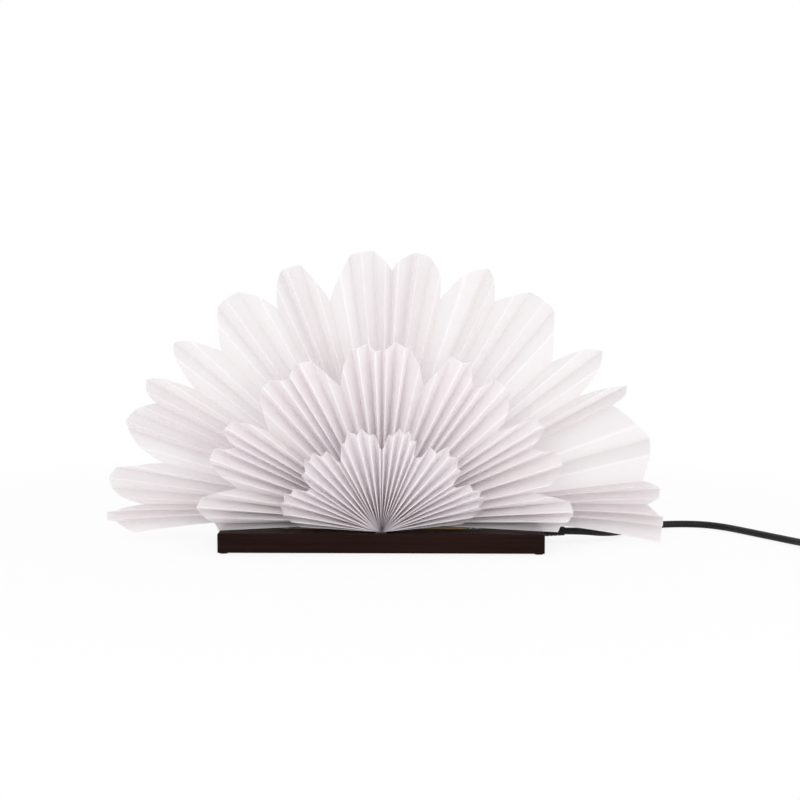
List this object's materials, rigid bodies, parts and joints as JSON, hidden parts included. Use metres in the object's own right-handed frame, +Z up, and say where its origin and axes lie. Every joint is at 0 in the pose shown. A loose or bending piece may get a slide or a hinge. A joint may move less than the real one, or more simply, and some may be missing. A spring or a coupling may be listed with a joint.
{
  "type": "table lamp",
  "caption": "Table lamp of half-round pleated white paper fans standing one behind another on a flat dark wooden base, with light bars between them and a black cord with a rocker switch.",
  "frame": {"origin": "on the table, under the middle of the wooden base", "axes": "+Z up, +X to the viewer's right along the base, +Y away from the viewer"},
  "size_m": [0.8192, 0.1412, 0.2613],
  "materials": {
    "board_wood": "dark espresso stain, satin",
    "cover_board": "dark hardboard, matte",
    "screw_steel": "zinc plated",
    "felt_dark": "felt",
    "paper_front": "cool white, matte, translucent",
    "paper_middle": "white, matte, translucent",
    "paper_rear": "warm white, matte, translucent",
    "clip_brass": "satin",
    "bar_black": "black anodised",
    "light_strip": "golden-yellow phosphor on a white tape",
    "driver_white": "moulded, fine grain",
    "circuit_board": "green lacquer",
    "ferrite": "dark grey ferrite with a taped winding",
    "capacitor_can": "sleeved can",
    "terminal_clear": "milky",
    "brass_bright": "plain",
    "cord_black": "smooth, slightly soft sheen",
    "core_brown": "insulated wires",
    "lead_white": "thin insulated wires",
    "switch_black": "fine grain",
    "rocker_black": "slightly glossy",
    "plug_black": "moulded",
    "pin_nickel": "nickel plated",
    "tie_black": "band"
  },
  "bodies": {
    "lamp": {"base_board": "board_wood", "bottom_cover": "cover_board", "cover_screws": "screw_steel", "felt_pads": "felt_dark", "front_fan": "paper_front", "middle_fan": "paper_middle", "rear_fan": "paper_rear", "front_fan_clip": "clip_brass", "middle_fan_clip": "clip_brass", "rear_fan_clip": "clip_brass", "clip_screws": "screw_steel", "front_light_bar": "bar_black", "rear_light_bar": "bar_black", "bar_screws": "screw_steel", "front_led_strip": "light_strip", "rear_led_strip": "light_strip", "driver_case": "driver_white", "driver_lid": "driver_white", "driver_board": "circuit_board", "driver_transformer": "ferrite", "driver_capacitors": "capacitor_can", "terminal_block": "terminal_clear", "terminal_screws": "brass_bright", "cord_clamp": "driver_white", "clamp_screws": "screw_steel", "cord_inside": "cord_black", "cord_strain_relief": "cord_black", "mains_cores": "core_brown", "driver_leads": "core_brown", "led_leads": "lead_white", "cord_run": "cord_black", "cord_link": "cord_black", "cord_coil": "cord_black", "cord_tail": "cord_black", "cord_tie": "tie_black", "switch_base": "switch_black", "switch_cover": "switch_black", "switch_screws": "screw_steel", "switch_terminals": "brass_bright", "plug_relief": "cord_black", "plug_body": "plug_black", "plug_pins": "pin_nickel"},
    "rocker": {"switch_rocker": "rocker_black", "rocker_contact": "brass_bright"}
  },
  "joints": [
    {"name": "rocker_tilt", "type": "hinge", "parent": "lamp", "child": "rocker", "pos_m": [0.44, -0.028, 0.0132], "axis": [0, 1, 0], "range_deg": [-18, 0]}
  ]
}
